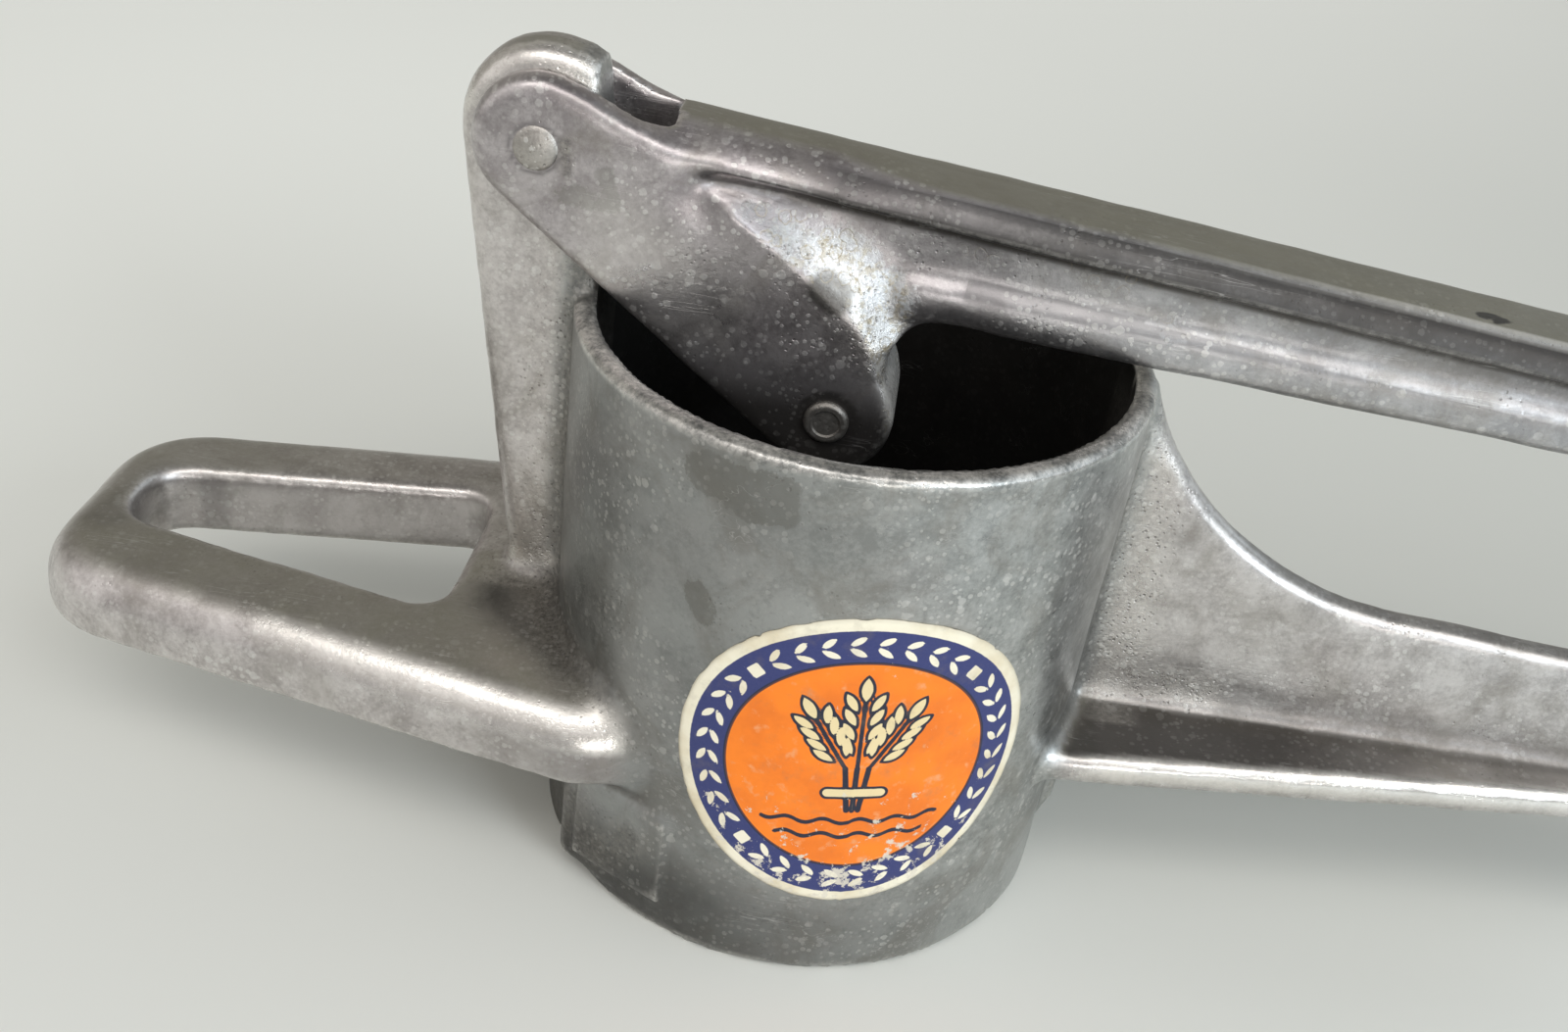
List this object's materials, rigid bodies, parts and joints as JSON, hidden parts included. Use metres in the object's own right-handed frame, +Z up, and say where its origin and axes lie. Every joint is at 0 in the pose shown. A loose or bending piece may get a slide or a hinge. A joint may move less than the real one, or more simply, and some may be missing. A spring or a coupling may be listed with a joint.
{
  "type": "spaetzle maker",
  "caption": "Hand-lever dough press: a round cast pot with a perforated floor, a loop handle with a pivot post, a T-section lower handle, and a long lever driving a plunger.",
  "frame": {"origin": "centre of the pot's underside, on the table", "axes": "+X along the lower handle, away from the pivot post; +Z up along the pot's axis; +Y away from the label's side"},
  "size_m": [0.4035, 0.0815, 0.119],
  "materials": {
    "cast_body": "aged sand-cast",
    "cast_lever": "aged sand-cast, rubbed edges",
    "pin_steel": "dull, dirty",
    "label_paper": "printed, worn"
  },
  "bodies": {
    "body": {"body_casting": "cast_body", "round_label": "label_paper"},
    "lever": {"lever": "cast_lever", "fulcrum_pin": "pin_steel", "stem_pin": "pin_steel"},
    "stem": {"stem": "cast_lever", "crosshead_pin": "pin_steel"},
    "plunger": {"plunger": "cast_body"}
  },
  "joints": [
    {"name": "lever_hinge", "type": "hinge", "parent": "body", "child": "lever", "pos_m": [-0.046, 0, 0.107], "axis": [0, -1, 0], "range_deg": [0, 100]},
    {"name": "stem_hinge", "type": "hinge", "parent": "lever", "child": "stem", "pos_m": [-0.00343, 0, 0.07492], "axis": [0, -1, 0], "range_deg": [-85.5, 0]},
    {"name": "plunger_slide", "type": "slide", "parent": "body", "child": "plunger", "axis": [0, 0, 1], "range_m": [0, 0.0842]}
  ],
  "couplings": [
    {"joint": "stem_hinge", "follows": "lever_hinge", "ratio": -0.85},
    {"joint": "plunger_slide", "follows": "lever_hinge", "m_per_rad": 0.0481}
  ]
}
